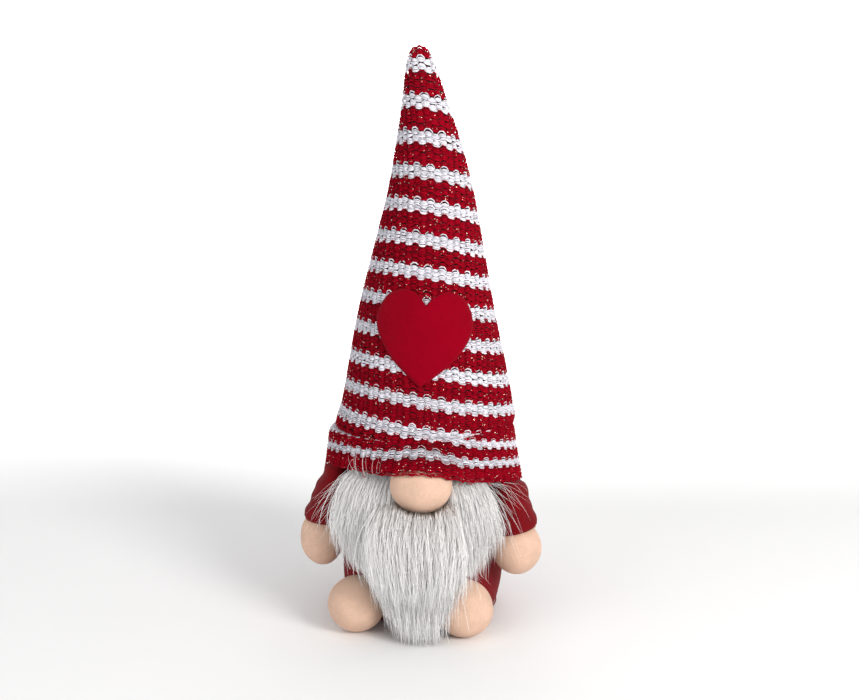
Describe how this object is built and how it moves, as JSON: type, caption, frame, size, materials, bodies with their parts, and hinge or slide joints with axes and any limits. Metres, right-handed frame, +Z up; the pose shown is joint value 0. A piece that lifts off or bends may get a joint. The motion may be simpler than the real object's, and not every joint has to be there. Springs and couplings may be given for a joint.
{
  "type": "tomte gnome figurine",
  "caption": "Stuffed tomte gnome sitting on a weighted base, with a tall striped knitted cone hat bearing a felt heart, a round nose, a long fur beard, mitten hands and ball feet",
  "frame": {"origin": "centre of the base panel's underside, on the surface that the figure stands on", "axes": "+Z up through the hat's tip, -Y the way the figure faces, +X to its own left"},
  "size_m": [0.1278, 0.1273, 0.301],
  "materials": {
    "striped_knit": "chunky knit of several fine strands, white and red stripes with a little lurex",
    "hat_lining_cloth": "stiff dark red non-woven cloth",
    "filling": "white polyester filling",
    "felt": "crimson pressed felt",
    "seam_thread": "red polyester thread",
    "gather_thread": "flesh-coloured polyester thread",
    "red_fleece": "dark red short-pile velour",
    "flesh_velour": "flesh-coloured brushed velour",
    "fur": "long straight pale grey-white pile",
    "fur_backing": "knitted backing of pile cloth",
    "base_board": "grey board",
    "pouch_cloth": "plain woven cotton",
    "pellets": "loose plastic pellets"
  },
  "bodies": {
    "torso": {"body_cover": "red_fleece", "base_panel": "red_fleece", "base_card": "base_board", "base_seam_thread": "seam_thread", "weight_bag": "pouch_cloth", "weight_pellets": "pellets", "body_stuffing": "filling", "closing_stitches": "seam_thread", "nose_cover": "flesh_velour", "nose_stuffing": "filling", "nose_thread": "gather_thread", "beard_backing": "fur_backing", "beard_pile": "fur", "hat_band": "striped_knit", "brim_wadding": "filling", "shoulder_tab_left": "red_fleece", "shoulder_tab_right": "red_fleece"},
    "hat_crown": {"hat_cover": "striped_knit", "hat_lining": "hat_lining_cloth", "hat_stuffing": "filling", "hat_seam": "seam_thread", "heart_patch": "felt"},
    "arm_left": {"sleeve_left": "red_fleece", "arm_stuffing_left": "filling", "hand_cover_left": "flesh_velour", "hand_stuffing_left": "filling", "cuff_thread_left": "gather_thread"},
    "arm_right": {"sleeve_right": "red_fleece", "arm_stuffing_right": "filling", "hand_cover_right": "flesh_velour", "hand_stuffing_right": "filling", "cuff_thread_right": "gather_thread"},
    "foot_left": {"foot_cover_left": "flesh_velour", "foot_stuffing_left": "filling", "foot_thread_left": "gather_thread"},
    "foot_right": {"foot_cover_right": "flesh_velour", "foot_stuffing_right": "filling", "foot_thread_right": "gather_thread"}
  },
  "joints": [
    {"name": "hat_tilt", "type": "hinge", "parent": "torso", "child": "hat_crown", "pos_m": [0, 0, 0.099], "axis": [0, 1, 0], "range_deg": [-12, 12], "stiffness_Nm_per_rad": 0.4},
    {"name": "shoulder_left", "type": "hinge", "parent": "torso", "child": "arm_left", "pos_m": [0.0445, -0.0115, 0.07], "axis": [0, -1, 0], "range_deg": [0, 50]},
    {"name": "shoulder_right", "type": "hinge", "parent": "torso", "child": "arm_right", "pos_m": [-0.0445, -0.0115, 0.07], "axis": [0, 1, 0], "range_deg": [0, 50]},
    {"name": "foot_hinge_left", "type": "hinge", "parent": "torso", "child": "foot_left", "pos_m": [0.01662, -0.04052, 0.0143], "axis": [-0.9252, -0.3795, 0], "range_deg": [0, 15]},
    {"name": "foot_hinge_right", "type": "hinge", "parent": "torso", "child": "foot_right", "pos_m": [-0.02574, -0.03543, 0.0143], "axis": [-0.809, 0.5878, 0], "range_deg": [0, 15]}
  ]
}
